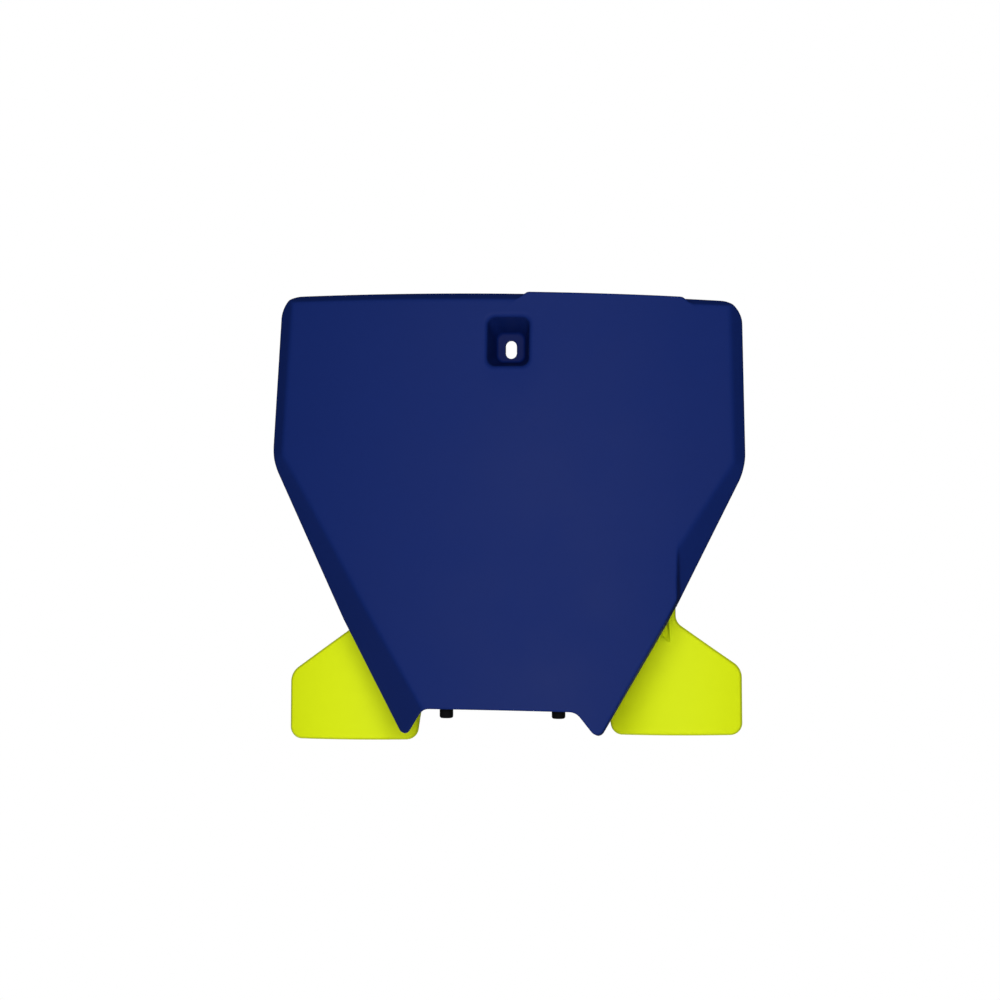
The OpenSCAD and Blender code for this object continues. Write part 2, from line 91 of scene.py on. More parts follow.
# The well for the motorbike's screw, with the slot through its floor: half its width and height at
# the face and at the floor, its depth, its corners' radius, and the fillet and lip of its walls.
WELL = np.array([1.2, 214.0])
WELL_OPEN = np.array([12.4, 14.8])
WELL_FLOOR = np.array([8.7, 9.1])
WELL_DEPTH = 20.5
WELL_CORNER = 4.5
FILLET = 1.6
LIP = 2.4
SEAT_T = 3.0
SLOT = np.array([3.3, 5.2])
SLOT_DROP = 1.2
FLOOR_Y = WELL[1] * np.sin(LEAN) + WELL_DEPTH * np.cos(LEAN)
FLOOR_Z = WELL[1] * np.cos(LEAN) - WELL_DEPTH * np.sin(LEAN)

# The pegs and their shelf, the screws and the cross bar that they hold. The shelf and its gussets
# start SUNK into the back of the face. WELL_WEB's corners are distances from the well and depths.
PEG_X = 32.2
PEG_Y = 10.4
PEG_DROP = 5.3
POST_R = 2.5
SLEEVE_R = 3.9
SLEEVE_BORE = 2.55
SHELF_Z = 12.0
SHELF_T = 2.5
SHELF_HALF = 44.0
SHELF_BACK = 19.0
GUSSET_BACK = 17.0
GUSSET_RISE = 17.0
GUSSET_TOP = 18.2
SUNK = 0.15
SCREW_X = 58.0
SCREW_S = (76.0, 98.0)
SCREW_LENGTH = 16.0
SHANK_R = 2.0
HEAD_R = 4.3
HEAD_H = 2.6
SOCKET_R = 1.7
HOLE_R = 2.3
BOSS_R = 4.5
PILOT_R = 2.05
PILOT_END = 9.0
BOSS_WEB = 9.0
BAR_N = 24.0
BAR_S = (66.0, 106.0)
BAR_HALF = 74.0
RIB_HALF = 62.0
RIB_DEPTH = 8.0
SHEET = 2.5
WEB = 1.6
WELL_WEB = ((13.2, 1.5), (30.0, 1.5), (30.0, 3.1), (11.9, 15.4), (10.8, 15.4))

# The wings: sheet bent round an upright axis WING_R behind their front at WING_X. The corners are
# those of the right wing, from its inner foot round by the outer side, the neck and the arm's joint.
WING_X = 92.0
WING_R = 105.0
WING_Y = 78.0
WING_STAGGER = 3.8
WING_MIDDLE = np.array([93.0, 12.0])
WING_FOOT = -21.5
WING_TOP = 38.0
NECK_TOP = 72.0
NECK = (89.5, 96.2)
WING_CORNERS = np.array([
    (58.4, WING_FOOT), (135.4, WING_FOOT), (135.0, 18.0), (NECK[1], 45.6), (NECK[1], NECK_TOP),
    (NECK[0], NECK_TOP), (NECK[0], 48.0), (80.0, WING_TOP), (50.0, WING_TOP), (55.2, 0.0),
])
WING_CORNER_R = np.array([7.0, 7.0, 11.0, 8.0, 2.0, 2.0, 3.0, 3.0, 2.0, 8.0])

# The arms: their inner edge, their outer edge at the bar and the reach of their cut corner, and how
# far their top stands over the bar's foot. The webs' corners are given as distance in front of the
# neck, height, inner side and outer side.
ARM_INNER = 50.0
ARM_AT_BAR = 78.0
ARM_OUTER = 86.0
ARM_START = 1.4
ARM_CORNER = 14.2
ARM_LIFT = 5.0
NECK_WEB = np.array([
    (0.0, 33.2, 92.6, 92.95), (0.0, 70.0, 89.5, 92.0), (10.0, 58.0, 89.5, 92.0),
    (22.0, 50.0, 88.6, 91.9), (26.0, 46.0, 88.3, 91.8), (12.0, 38.9, 88.3, 92.3),
])

SIDE_NAMES = ((-1, "left"), (1, "right"))
LEVEL_NAMES = ("lower", "upper")


# Meshes

def upright(x, y, z):
    """Turns distances across, into the depth and up into metres in the shared frame."""
    return (np.stack([x, y, z], axis=-1) - ORIGIN) / 1000.0


def leaned(x, n, s):
    """Turns distances across, back from the face and up the face into metres in the shared frame."""
    y = n * np.cos(LEAN) + s * np.sin(LEAN)
    z = -n * np.sin(LEAN) + s * np.cos(LEAN)
    return upright(x, y, z)


def ring_faces(rows, columns, closed_rows):
    """Corner numbers of the squares of a grid whose columns close on themselves, and whose rows do
    so too where closed_rows is true."""
    r = np.arange(rows if closed_rows else rows - 1)[:, None]
    c = np.arange(columns)[None, :]
    up = (r + 1) % rows
    right = (c + 1) % columns
    return np.stack([
        (r * columns + c).ravel(), (r * columns + right).ravel(),
        (up * columns + right).ravel(), (up * columns + c).ravel()], axis=1)


def end_fans(columns, rings):
    """Triangles that close the first ring to one point and the last ring to another. The two points
    are numbered after those of all the rings."""
    first = np.arange(columns)
    after = np.roll(first, -1)
    last = (rings - 1) * columns
    middle = rings * columns
    return np.concatenate([
        np.stack([np.full(columns, middle), after, first], axis=1),
        np.stack([np.full(columns, middle + 1), last + first, last + after], axis=1)])


def put_mesh(name, points, faces, material, smooth_angle=None):
    """A mesh object from points in metres and faces of three or four corners, shaded smooth. Edges
    that turn by more than smooth_angle, where one is given, stay sharp."""
    mesh = bpy.data.meshes.new(name)
    size = faces.shape[1]
    mesh.vertices.add(len(points))
    mesh.vertices.foreach_set("co", np.ascontiguousarray(points, dtype=np.float32).ravel())
    mesh.loops.add(faces.size)
    mesh.loops.foreach_set("vertex_index", faces.astype(np.int32).ravel())
    mesh.polygons.add(len(faces))
    mesh.polygons.foreach_set("loop_start", np.arange(0, faces.size, size, dtype=np.int32))
    mesh.polygons.foreach_set("loop_total", np.full(len(faces), size, dtype=np.int32))
    mesh.polygons.foreach_set("use_smooth", np.ones(len(faces), dtype=bool))
    mesh.update(calc_edges=True)
    mesh.validate()
    mesh.materials.append(material)
    if smooth_angle is not None:
        mesh.set_sharp_from_angle(angle=smooth_angle)
    piece = bpy.data.objects.new(name, mesh)
    bpy.context.scene.collection.objects.link(piece)
    return piece


def put_number(piece, name, values):
    """Gives a piece a number at each of its points, which its material reads."""
    field = piece.data.attributes.new(name, "FLOAT", "POINT")
    field.data.foreach_set("value", np.ascontiguousarray(values, dtype=np.float32))


def shorter_diagonals(points, quads):
    """Cuts each square in two along the diagonal whose ends differ least in depth."""
    a, b, c, d = (points[quads[:, i], 1] for i in range(4))
    first = np.abs(a - c) <= np.abs(b - d)
    cut_ac = np.concatenate([quads[:, [0, 1, 2]], quads[:, [0, 2, 3]]], axis=1)
    cut_bd = np.concatenate([quads[:, [0, 1, 3]], quads[:, [1, 2, 3]]], axis=1)
    return np.where(first[:, None], cut_ac, cut_bd).reshape(-1, 3)


# The outline of the board

def fallen(points):
    """Lowers each point of the outline by the edges' fall at its distance from the middle, and moves
    it left by the outline's drift at its height."""
    x = points[:, 0] - EDGE_DRIFT * (1 - points[:, 1] / TOP[1])
    return np.stack([x, points[:, 1] - EDGE_FALL * points[:, 0] / (2 * WIDE[0])], axis=1)


def rounded_outline(corners, radii, spacing, corner_spacing):
    """Points and inward normals along a closed outline: straight stretches at one spacing joined by
    arcs of the given radii that touch both neighbours. An arc starts r / tan(half the angle) from
    its corner."""
    points, normals = [], []
    count = len(corners)
    turn_sign = np.sign(sum(
        corners[i][0] * corners[(i + 1) % count][1] - corners[(i + 1) % count][0] * corners[i][1]
        for i in range(count)))
    arcs = []
    for i in range(count):
        before = corners[i - 1] - corners[i]
        after = corners[(i + 1) % count] - corners[i]
        before /= np.linalg.norm(before)
        after /= np.linalg.norm(after)
        half = 0.5 * np.arccos(np.clip(before @ after, -1, 1))
        bisector = (before + after) / np.linalg.norm(before + after)
        reach = radii[i] / np.tan(half)
        middle = corners[i] + bisector * radii[i] / np.sin(half)
        start = corners[i] + before * reach
        end = corners[i] + after * reach
        bend = before[0] * after[1] - before[1] * after[0]
        arcs.append((start, end, middle, radii[i], -np.sign(bend) * turn_sign, np.pi - 2 * half))
    for i in range(count):
        start, end, middle, r, outward, sweep = arcs[i]
        steps = max(3, int(np.ceil(r * sweep / corner_spacing)))
        first = np.arctan2(*(start - middle)[::-1])
        last = np.arctan2(*(end - middle)[::-1])
        turn = (last - first + np.pi) % (2 * np.pi) - np.pi
        angle = first + turn * np.arange(steps) / steps
        ray = np.stack([np.cos(angle), np.sin(angle)], axis=1)
        points.append(middle + r * ray)
        normals.append(-outward * ray)
        following = arcs[(i + 1) % count][0]
        stretch = following - end
        length = np.linalg.norm(stretch)
        steps = max(2, int(np.ceil(length / spacing)))
        share = np.arange(steps)[:, None] / steps
        points.append(end + stretch * share)
        side = turn_sign * np.array([-stretch[1], stretch[0]]) / length
        normals.append(np.repeat(side[None, :], steps, axis=0))
    return np.concatenate(points), np.concatenate(normals)


def edge_distance(points, a, b):
    """Distance of points outside the line from a up to b on the right-hand side of the board."""
    along = (b - a) / np.linalg.norm(b - a)
    return (points[..., 0] - a[0]) * along[1] - (points[..., 1] - a[1]) * along[0]


# The surface of the face

def soft_max(a, b, k):
    """The larger of two heights, with the edge between them rounded over about k."""
    return 0.5 * (a + b + np.sqrt((a - b) ** 2 + k * k))


def smooth_step(value, low, high):
    """Rises from 0 at low to 1 at high with level ends."""
    t = np.clip((value - low) / (high - low), 0, 1)
    return t * t * (3 - 2 * t)


SIDES = fallen(CORNERS)
RIGHT_TIP, RIGHT_KNEE, RIGHT_WIDE, RIGHT_TOP = SIDES[1:5]
LEFT_TOP, LEFT_WIDE, LEFT_KNEE, LEFT_TIP = SIDES[5:9] * MIRROR


def band_depth(at, a, b, angle, wall):
    """Depth of the band along the right-hand side from a up to b. Its outer line lies at the depth of
    the land, and it comes forward from there at the given angle."""
    return LAND_DEPTH + edge_distance(at, a, b) * np.tan(angle) + wall / np.cos(angle)


def face_depth(x, s, wall=0.0):
    """Depth of the face's skin, or of a skin one wall behind it. It is the deepest of the bowed
    front, the part turned back beyond the crease, the sloping bands along the sides and the band
    along the top edge, with their meeting edges softened."""
    at = np.stack([x, s], axis=-1)
    bow = BOW_R - np.sqrt((BOW_R - wall) ** 2 - x * x)
    crease_n = BOW_R - np.sqrt(BOW_R ** 2 - CREASE_X ** 2)
    turned = crease_n + (x - CREASE_X) * np.tan(CREASE_ANGLE) + wall / np.cos(CREASE_ANGLE)
    depth = soft_max(bow, turned, CREASE_SOFT)

    for a, b, angle in ((LEFT_WIDE, LEFT_TOP, SIDE_BAND), (LEFT_KNEE, LEFT_WIDE, LOWER_BAND),
                        (LEFT_TIP, LEFT_KNEE, LOWER_BAND)):
        depth = soft_max(depth, band_depth(at * MIRROR, a, b, angle, wall), BAND_SOFT)
    depth = soft_max(depth, band_depth(at, RIGHT_WIDE, RIGHT_TOP, SIDE_BAND, wall), BAND_SOFT)
    lower = soft_max(depth, band_depth(at, RIGHT_KNEE, RIGHT_WIDE, LOWER_BAND, wall), BAND_SOFT)
    depth = depth + (lower - depth) * smooth_step(x, STEP_X - wall, STEP_X - wall + STEP_W)

    edge = TOP[1] - EDGE_FALL * x / (2 * WIDE[0])
    top_slope = np.arctan2(TOP_BAND_DEPTH, TOP_BAND_H)
    cut = TOP_BAND_DEPTH * (1 - (edge - s) / TOP_BAND_H) + wall / np.cos(top_slope)
    top_band = BOW_R - np.sqrt((BOW_R - cut) ** 2 - x * x)
    shaped = soft_max(depth, top_band, 0.9)
    slant = (s - edge) * TAB_SLANT / TOP_BAND_H
    if wall == 0:
        on_band = np.maximum(
            1 - smooth_step(x - slant, TAB[0] - TAB_SOFT, TAB[0]),
            smooth_step(x + slant, TAB[1], TAB[1] + TAB_SOFT))
    else:
        on_band = 1.0
    return depth + (shaped - depth) * on_band


def rim_depth(x, s):
    """Depth of the rim: level all round, but coming forward to the right-hand tip below the step."""
    return RIM_DEPTH - np.where(x > 0, np.maximum(STEP_FOOT - s, 0) * RIM_RISE, 0.0)


def ring_reach(directions, half, corner):
    """Distance along each ray from the middle to a rectangle of half sizes with round corners,
    found by halving."""
    low = np.zeros(len(directions))
    high = np.full(len(directions), 60.0)
    for _ in range(44):
        mid = 0.5 * (low + high)
        q = np.abs(directions * mid[:, None]) - (half - corner)
        out = np.linalg.norm(np.maximum(q, 0), axis=1) + np.minimum(q.max(axis=1), 0) - corner
        low = np.where(out < 0, mid, low)
        high = np.where(out < 0, high, mid)
    return low


def on_face(at, n):
    """Points at places across and up the face, at a depth behind it."""
    return leaned(at[:, 0], n, at[:, 1])


def slot_rows(ray):
    """The upright slot through the floor of the well, from behind to the front."""
    slot_z = FLOOR_Z - SLOT_DROP
    rows = []
    for grow, y in ((0.25, SEAT_T), (0.0, SEAT_T - 0.25), (0.0, 0.25), (0.07, 0.07), (0.25, 0.0)):
        half = SLOT + grow
        out = ring_reach(ray, half, half[0] - 0.001)
        at = np.stack([WELL[0] + ray[:, 0] * out, slot_z + ray[:, 1] * out])
        rows.append(upright(at[0], np.full(len(ray), FLOOR_Y + y), at[1]))
    return rows


def well_wall(ray, depth_share, inset):
    """Where each ray meets the well's tapered wall, moved in, at a share of the way to the floor."""
    s = np.full(len(ray), WELL[1])
    for _ in range(4):
        n_floor = (FLOOR_Y - s * np.sin(LEAN)) / np.cos(LEAN)
        n = n_floor * depth_share
        half = WELL_OPEN + (WELL_FLOOR - WELL_OPEN) * np.mean(n / WELL_DEPTH) - inset
        out = ring_reach(ray, half, WELL_CORNER - inset * 0.6)
        s = WELL[1] + ray[:, 1] * out
    return WELL + ray * out[:, None], n


def well_rows(ray):
    """The slot, the floor of the well, its fillet, its walls and the lip that turns out onto the
    face. The lip's last ring of places is given too."""
    rows = slot_rows(ray)
    slot_front = rows[-1]
    floor_rim = on_face(*well_wall(ray, 1.0, FILLET))
    for share in (0.35, 0.7, 1.0):
        rows.append(slot_front + (floor_rim - slot_front) * share)
    for angle in np.radians([30, 60, 90]):
        at, n = well_wall(ray, 1.0, FILLET * (1 - np.sin(angle)))
        rows.append(on_face(at, n - FILLET * (1 - np.cos(angle))))
    for share in (0.62, 0.36):
        rows.append(on_face(*well_wall(ray, share, 0.0)))
    for angle in np.radians([90, 72, 54, 36, 18, 0]):
        taper = (WELL_OPEN - WELL_FLOOR) * LIP / WELL_DEPTH * np.sin(angle)
        half = WELL_OPEN + LIP * (1 - np.sin(angle)) - taper
        out = ring_reach(ray, half, WELL_CORNER + LIP * 0.8 * (1 - np.sin(angle)))
        at = WELL + ray * out[:, None]
        rows.append(on_face(at, face_depth(at[:, 0], at[:, 1]) + LIP * (1 - np.cos(angle))))
    return rows, at


def skin_rows(start, end, low, high, count, wall=0.0):
    """Rows on the face's skin, or on the skin one wall behind it, along the lines from one ring of
    places to another, at even steps between two distances from the start."""
    span = np.linalg.norm(end - start, axis=1)
    rows = []
    for k in range(1, count + 1):
        share = (low + (high - low) * k / count) / span
        at = start + (end - start) * share[:, None]
        rows.append(on_face(at, face_depth(at[:, 0], at[:, 1], wall)))
    return rows


def front_rows(lip_ring, outer):
    """The front of the face, with close rows near the outline where its bands turn."""
    span = np.linalg.norm(outer - lip_ring, axis=1)
    middle = span - np.minimum(46.0, 0.8 * span)
    return [*skin_rows(lip_ring, outer, 0.0, middle, 9), *skin_rows(lip_ring, outer, middle, span, 40)]


def rim_rows(edge, inward):
    """The rounded edge, the straight land, the rim and the land inside, with the inner land's ring
    of places. Along the foot between the tips there is no rim beyond the reach of the sides."""
    at_edge = face_depth(edge[:, 0], edge[:, 1])
    behind = face_depth(edge[:, 0], edge[:, 1], WALL)
    side_gap = np.minimum(
        np.abs(edge_distance(edge, RIGHT_TIP, RIGHT_KNEE)),
        np.abs(edge_distance(edge * MIRROR, LEFT_TIP, LEFT_KNEE)))
    at_foot = (edge[:, 1] < 6) & (np.abs(edge[:, 0]) < 56)
    skirt = np.where(at_foot, 1 - smooth_step(side_gap, 2.0, 3.4), 1.0)
    rim = behind + (np.maximum(rim_depth(edge[:, 0], edge[:, 1]), behind) - behind) * skirt
    edge_drop = np.minimum(EDGE_R, 0.5 * (rim - at_edge))
    rows = []
    for angle in np.radians([30, 60, 90]):
        at = edge + inward * EDGE_R * (1 - np.sin(angle))
        skin = np.minimum(face_depth(at[:, 0], at[:, 1]), rim - 0.6 * edge_drop)
        rows.append(on_face(at, skin + edge_drop * (1 - np.cos(angle)) * 0.5))
    rim_r = np.minimum(0.8, 0.4 * (rim - at_edge))
    for inset, drop in ((0.0, 1.0), (0.1, 0.45), (0.35, 0.1), (0.8, 0.0), (WALL - 0.8, 0.0),
                        (WALL - 0.35, 0.1), (WALL - 0.1, 0.45)):
        rows.append(on_face(edge + inward * inset, rim - rim_r * drop))
    inside = edge + inward * (WALL + 0.15)
    n_inside = face_depth(inside[:, 0], inside[:, 1], WALL)
    rows.append(on_face(inside, np.minimum(n_inside, rim - 0.5 * rim_r)))
    return rows, inside


def back_rows(ray, inside):
    """The back of the face, in to the well's outside, and the outside of the well to its seat."""
    body = WELL_OPEN + WALL - (WELL_OPEN - WELL_FLOOR) * 0.15
    root = WELL + ray * ring_reach(ray, body + 1.0, 2.2)[:, None]
    span = np.linalg.norm(inside - root, axis=1)
    near = np.minimum(40.0, 0.8 * span)
    rows = [*skin_rows(inside, root, 0.0, near, 20, WALL), *skin_rows(inside, root, near, span, 5, WALL)]
    seat_y = FLOOR_Y + SEAT_T
    for share, inset in ((0.18, 0.0), (0.6, 0.0), (0.985, 0.0), (1.0, 0.35)):
        s = np.full(len(ray), WELL[1])
        for _ in range(4):
            n = (seat_y - s * np.sin(LEAN)) / np.cos(LEAN) * share
            half = WELL_OPEN + WALL + (WELL_FLOOR - WELL_OPEN) * np.mean(n) / WELL_DEPTH - inset
            out = ring_reach(ray, half, 1.6)
            s = WELL[1] + ray[:, 1] * out
        rows.append(on_face(WELL + ray * out[:, None], n))
    return rows


def face_board(material):
    """The whole face moulding as one closed skin: a profile that starts in the screw slot, runs over
    the floor, walls and lip of the well, out over the face and its bands to the rim, round the rim,
    back behind the face and down outside the well to the slot again. It is carried along rays from
    the middle of the well to the outline, and stays a hair inside it."""
    edge, inward = rounded_outline(SIDES, CORNER_R, 1.35, 0.8)
    edge = edge + HAIR * inward
    ray = edge - WELL
    ray = ray / np.linalg.norm(ray, axis=1)[:, None]
    well, lip_ring = well_rows(ray)
    front = front_rows(lip_ring, edge + inward * EDGE_R)
    rim, inside = rim_rows(edge, inward)
    back = back_rows(ray, inside)
    seat = [back[-1] + (well[0] - back[-1]) * share for share in (0.4, 0.75)]
    rows = [*well, *front, *rim, *back, *seat]

    # the painted shade number is 1 on the slot and floor and fades out up the walls and lip; it darkens the
    # well as shadow would
    fading = 11
    painted_shade_share = np.zeros((len(rows), len(ray)))
    painted_shade_share[:len(well) - fading] = 1.0
    painted_shade_share[len(well) - fading:len(well)] = np.linspace(1.0, 0.0, fading)[:, None] ** 1.5
    points = np.concatenate(rows)
    quads = ring_faces(len(rows), len(ray), True)
    piece = put_mesh("face_moulding", points, shorter_diagonals(points, quads)[:, ::-1], material)
    put_number(piece, "painted_shade_share", painted_shade_share.ravel())
    return piece


# Flat and turned members behind the face

def plate(name, loops, thickness, place, material, edge=0.35):
    """A flat member: an outline with any holes, cut from sheet of the given thickness. Its two faces
    are filled between the loops, its walls are pairs of triangles, and a bevel turns its edges.
    place turns the outline's two distances and the depth through the sheet into metres."""
    loops = [np.asarray(loop, dtype=float) for loop in loops]
    flat = np.concatenate(loops)
    fill = np.array(tessellate_polygon([[Vector((*p, 0.0)) for p in loop] for loop in loops]))
    count = len(flat)
    front = place(flat[:, 0], flat[:, 1], np.zeros(count))
    back = place(flat[:, 0], flat[:, 1], np.full(count, thickness))
    faces = [fill, fill[:, ::-1] + count]
    start = 0
    for loop in loops:
        a = start + np.arange(len(loop))
        b = start + np.roll(np.arange(len(loop)), -1)
        faces.append(np.stack([a, b, b + count], axis=1))
        faces.append(np.stack([a, b + count, a + count], axis=1))
        start += len(loop)
    piece = put_mesh(name, np.concatenate([front, back]), np.concatenate(faces), material)
    tidy = bmesh.new()
    tidy.from_mesh(piece.data)
    bmesh.ops.recalc_face_normals(tidy, faces=tidy.faces)
    tidy.to_mesh(piece.data)
    tidy.free()
    turned_edge = piece.modifiers.new("turned_edge", "BEVEL")
    turned_edge.width = edge / 1000.0
    turned_edge.segments = 2
    turned_edge.limit_method = "ANGLE"
    turned_edge.angle_limit = np.radians(40)
    piece.data.shade_flat()
    return piece


def turned(name, profile, place, material, steps=64):
    """A round member: a profile of radii and heights carried round an axis, closed by a point at
    each end. A radius may be an array with one value for each step round the axis."""
    angle = 2 * np.pi * np.arange(steps) / steps
    inner = profile[1:-1]
    radius = np.stack([np.broadcast_to(r, steps) for r, _ in inner])
    height = np.repeat(np.array([h for _, h in inner], dtype=float)[:, None], steps, axis=1)
    x = (radius * np.cos(angle)).ravel()
    y = (radius * np.sin(angle)).ravel()
    ends = np.array([profile[0][1], profile[-1][1]], dtype=float)
    points = place(np.append(x, [0, 0]), np.append(y, [0, 0]), np.append(height.ravel(), ends))
    body = ring_faces(len(inner), steps, False)
    faces = np.concatenate([body[:, [0, 1, 2]], body[:, [0, 2, 3]], end_fans(steps, len(inner))])
    return put_mesh(name, points, faces, material, smooth_angle=np.radians(50))


def circle(x, y, r, steps=40):
    """A round hole's outline."""
    angle = 2 * np.pi * np.arange(steps) / steps
    return np.stack([x + r * np.cos(angle), y + r * np.sin(angle)], axis=1)


def face_back(x):
    """Depth of the back of the face at a distance from the middle."""
    return BOW_R - np.sqrt((BOW_R - WALL) ** 2 - x * x)


def face_fittings(material):
    """What the face moulding carries behind it: four screw bosses with their webs, two webs beside
    the well, and the shelf with three gussets and two posts for the pegs."""
    pieces = []
    root = face_back(SCREW_X) - WALL / 2
    boss = [(0, root), (BOSS_R, root), (BOSS_R, BAR_N - 0.4), (BOSS_R - 0.1, BAR_N - 0.1),
            (BOSS_R - 0.4, BAR_N), (PILOT_R + 0.35, BAR_N), (PILOT_R + 0.07, BAR_N - 0.1),
            (PILOT_R, BAR_N - 0.4), (PILOT_R, PILOT_END), (0, PILOT_END - 0.8)]
    web_back = root + BOSS_WEB
    web = [(root, SCREW_S[0]), (web_back, SCREW_S[0]), (web_back, SCREW_S[1]), (root, SCREW_S[1])]
    for side, where in SIDE_NAMES:
        for s, level in zip(SCREW_S, LEVEL_NAMES):
            pieces.append(turned(f"{where}_{level}_boss", boss,
                                 lambda x, y, h, side=side, s=s: leaned(side * SCREW_X + x, h, s - y),
                                 material))
        pieces.append(plate(f"{where}_boss_web", [web], WEB,
                            lambda n, s, w, side=side: leaned(side * SCREW_X + w - WEB / 2, n, s), material))
        pieces.append(plate(f"{where}_well_web", [WELL_WEB], WEB,
                            lambda x, n, w, side=side: leaned(WELL[0] + side * x, n, WELL[1] + w - WEB / 2),
                            material))
    front = WALL - SUNK + SHELF_Z * np.sin(LEAN)
    shelf = [(-SHELF_HALF, front), (SHELF_HALF, front), (SHELF_HALF, SHELF_BACK), (-SHELF_HALF, SHELF_BACK)]
    pieces.append(plate("peg_shelf", [shelf], SHELF_T, lambda x, y, w: upright(x, y, SHELF_Z + w), material))
    gusset = [(front, SHELF_Z + SHELF_T / 2), (GUSSET_BACK, SHELF_Z + SHELF_T / 2),
              (front + GUSSET_RISE * np.sin(LEAN), SHELF_Z + GUSSET_TOP)]
    for x, where in ((-PEG_X, "left"), (0, "middle"), (PEG_X, "right")):
        pieces.append(plate(f"{where}_shelf_gusset", [gusset], WEB,
                            lambda y, z, w, x=x: upright(x + w - WEB / 2, y, z), material))
    post = [(0, -2.5), (POST_R - 0.4, -2.5), (POST_R, -2.1), (POST_R, SHELF_Z + 1), (0, SHELF_Z + 1)]
    for side, where in SIDE_NAMES:
        pieces.append(turned(f"{where}_peg_post", post,
                             lambda x, y, h, side=side: upright(side * PEG_X + x, PEG_Y + y, h), material))
    return pieces


# The rear bracket

def sheet_depth(x, w):
    """Depth of a wing at a distance w behind its front: an upright cylinder's side."""
    return WING_Y + WING_R - np.sqrt((WING_R - w) ** 2 - (x - WING_X) ** 2)


def wing(name, side, material):
    """One wing with its neck, as one closed skin. Rays run from a point inside the wing to its
    outline: the front is followed out, over the chamfered edge and back in behind. side is -1 for
    the left wing, which is mirrored, and 1 for the right."""
    edge, inward = rounded_outline(WING_CORNERS, WING_CORNER_R, 0.9, 0.45)
    edge_r = 1.4
    rows, worn = [], []

    def add(at, w, wear):
        x, z = at[:, 0], at[:, 1]
        rows.append(upright(side * x, sheet_depth(x, w), z + side * WING_STAGGER / 2))
        worn.append(np.full(len(at), wear))

    rim = edge + inward * edge_r
    outward = 46
    for k in range(1, outward + 1):
        add(WING_MIDDLE + (rim - WING_MIDDLE) * (k / outward) ** 0.85, 0.0, 0.0)
    chamfer = ((1.1, 0.1, 0.5), (0.85, 0.32, 1.0), (0.28, 1.3, 1.0), (0.05, 1.65, 0.5), (0.0, 1.8, 0.2))
    for inset, w, wear in chamfer:
        add(edge + inward * inset, w, wear)
    back_r = 0.4
    for angle, wear in zip(np.radians([90, 60, 30, 0]), (0.5, 0.8, 0.5, 0.0)):
        add(edge + inward * back_r * (1 - np.sin(angle)), SHEET - back_r * (1 - np.cos(angle)), wear)
    back = edge + inward * back_r
    back_steps = 18
    for k in range(back_steps - 1, 0, -1):
        add(WING_MIDDLE + (back - WING_MIDDLE) * (k / back_steps), SHEET, 0.0)
    columns = len(edge)
    rings = len(rows)
    for w in (0.0, SHEET):
        x, z = WING_MIDDLE
        rows.append(upright(np.array([side * x]), np.array([sheet_depth(x, w)]),
                            np.array([z + side * WING_STAGGER / 2])))
        worn.append(np.zeros(1))
    points = np.concatenate(rows)
    quads = ring_faces(rings, columns, False)
    faces = np.concatenate([shorter_diagonals(points, quads), end_fans(columns, rings)])
    if side > 0:
        faces = faces[:, ::-1]
    piece = put_mesh(name, points, faces, material, smooth_angle=np.radians(60))
    put_number(piece, "wear", np.concatenate(worn))
    return piece


def bracket_frame(material):
    """The hidden part of the bracket: a cross bar with two ribs and four screw holes, and on each
    side a sloping arm back to the wing with a web up to the neck."""
    pieces = []
    low, high = BAR_S
    corners = np.array([(-BAR_HALF, low), (BAR_HALF, low), (BAR_HALF, high), (-BAR_HALF, high)])
    bar, _ = rounded_outline(corners, np.array([4.0, 4.0, 8.0, 8.0]), 200.0, 0.8)
    holes = [circle(x, s, HOLE_R) for x in (-SCREW_X, SCREW_X) for s in SCREW_S]
    pieces.append(plate("cross_bar", [bar, *holes], SHEET,
                        lambda x, s, w: leaned(x, BAR_N + w, s), material, edge=0.12))
    rib_root = BAR_N + SHEET / 2 - 0.05
    rib = [(-RIB_HALF, rib_root), (RIB_HALF, rib_root), (RIB_HALF, BAR_N + RIB_DEPTH),
           (-RIB_HALF, BAR_N + RIB_DEPTH)]
    for s, where in zip((low, high - WEB), LEVEL_NAMES):
        pieces.append(plate(f"{where}_bar_rib", [rib], WEB,
                            lambda x, n, w, s=s: leaned(x, n, s + w), material))

    bar_y = low * np.sin(LEAN) + BAR_N * np.cos(LEAN)
    arm_z = low * np.cos(LEAN) - BAR_N * np.sin(LEAN) + ARM_LIFT
    neck_y = sheet_depth(NECK[0] + SHEET / 2, SHEET / 2)
    slope = np.arctan2(arm_z - WING_TOP + 4, neck_y + 2 - bar_y)
    far_x = np.linspace(ARM_OUTER, ARM_INNER + 4.5, 12)
    far_u = (sheet_depth(far_x, SHEET / 2) - bar_y) / np.cos(slope)
    arm = [(ARM_INNER, ARM_START), (ARM_AT_BAR, ARM_START), (ARM_OUTER, ARM_CORNER), *zip(far_x, far_u)]
    web = np.stack([neck_y - NECK_WEB[:, 0], NECK_WEB[:, 1]], axis=1)
    inner, outer = NECK_WEB[:, 2], NECK_WEB[:, 3]
    for side, where in SIDE_NAMES:
        lift = side * WING_STAGGER / 2

        def on_slope(x, u, w, side=side, lift=lift):
            y = bar_y + u * np.cos(slope) - w * np.sin(slope)
            z = arm_z - u * np.sin(slope) - w * np.cos(slope) + lift
            return upright(side * x, y, z)

        def drafted(y, z, w, side=side, lift=lift):
            return upright(side * (inner + (outer - inner) * w / SHEET), y, z + lift)

        pieces.append(plate(f"{where}_arm", [arm], SHEET, on_slope, material))
        pieces.append(plate(f"{where}_neck_web", [web], SHEET, drafted, material, edge=0.1))
    return pieces


# Sleeves and screws

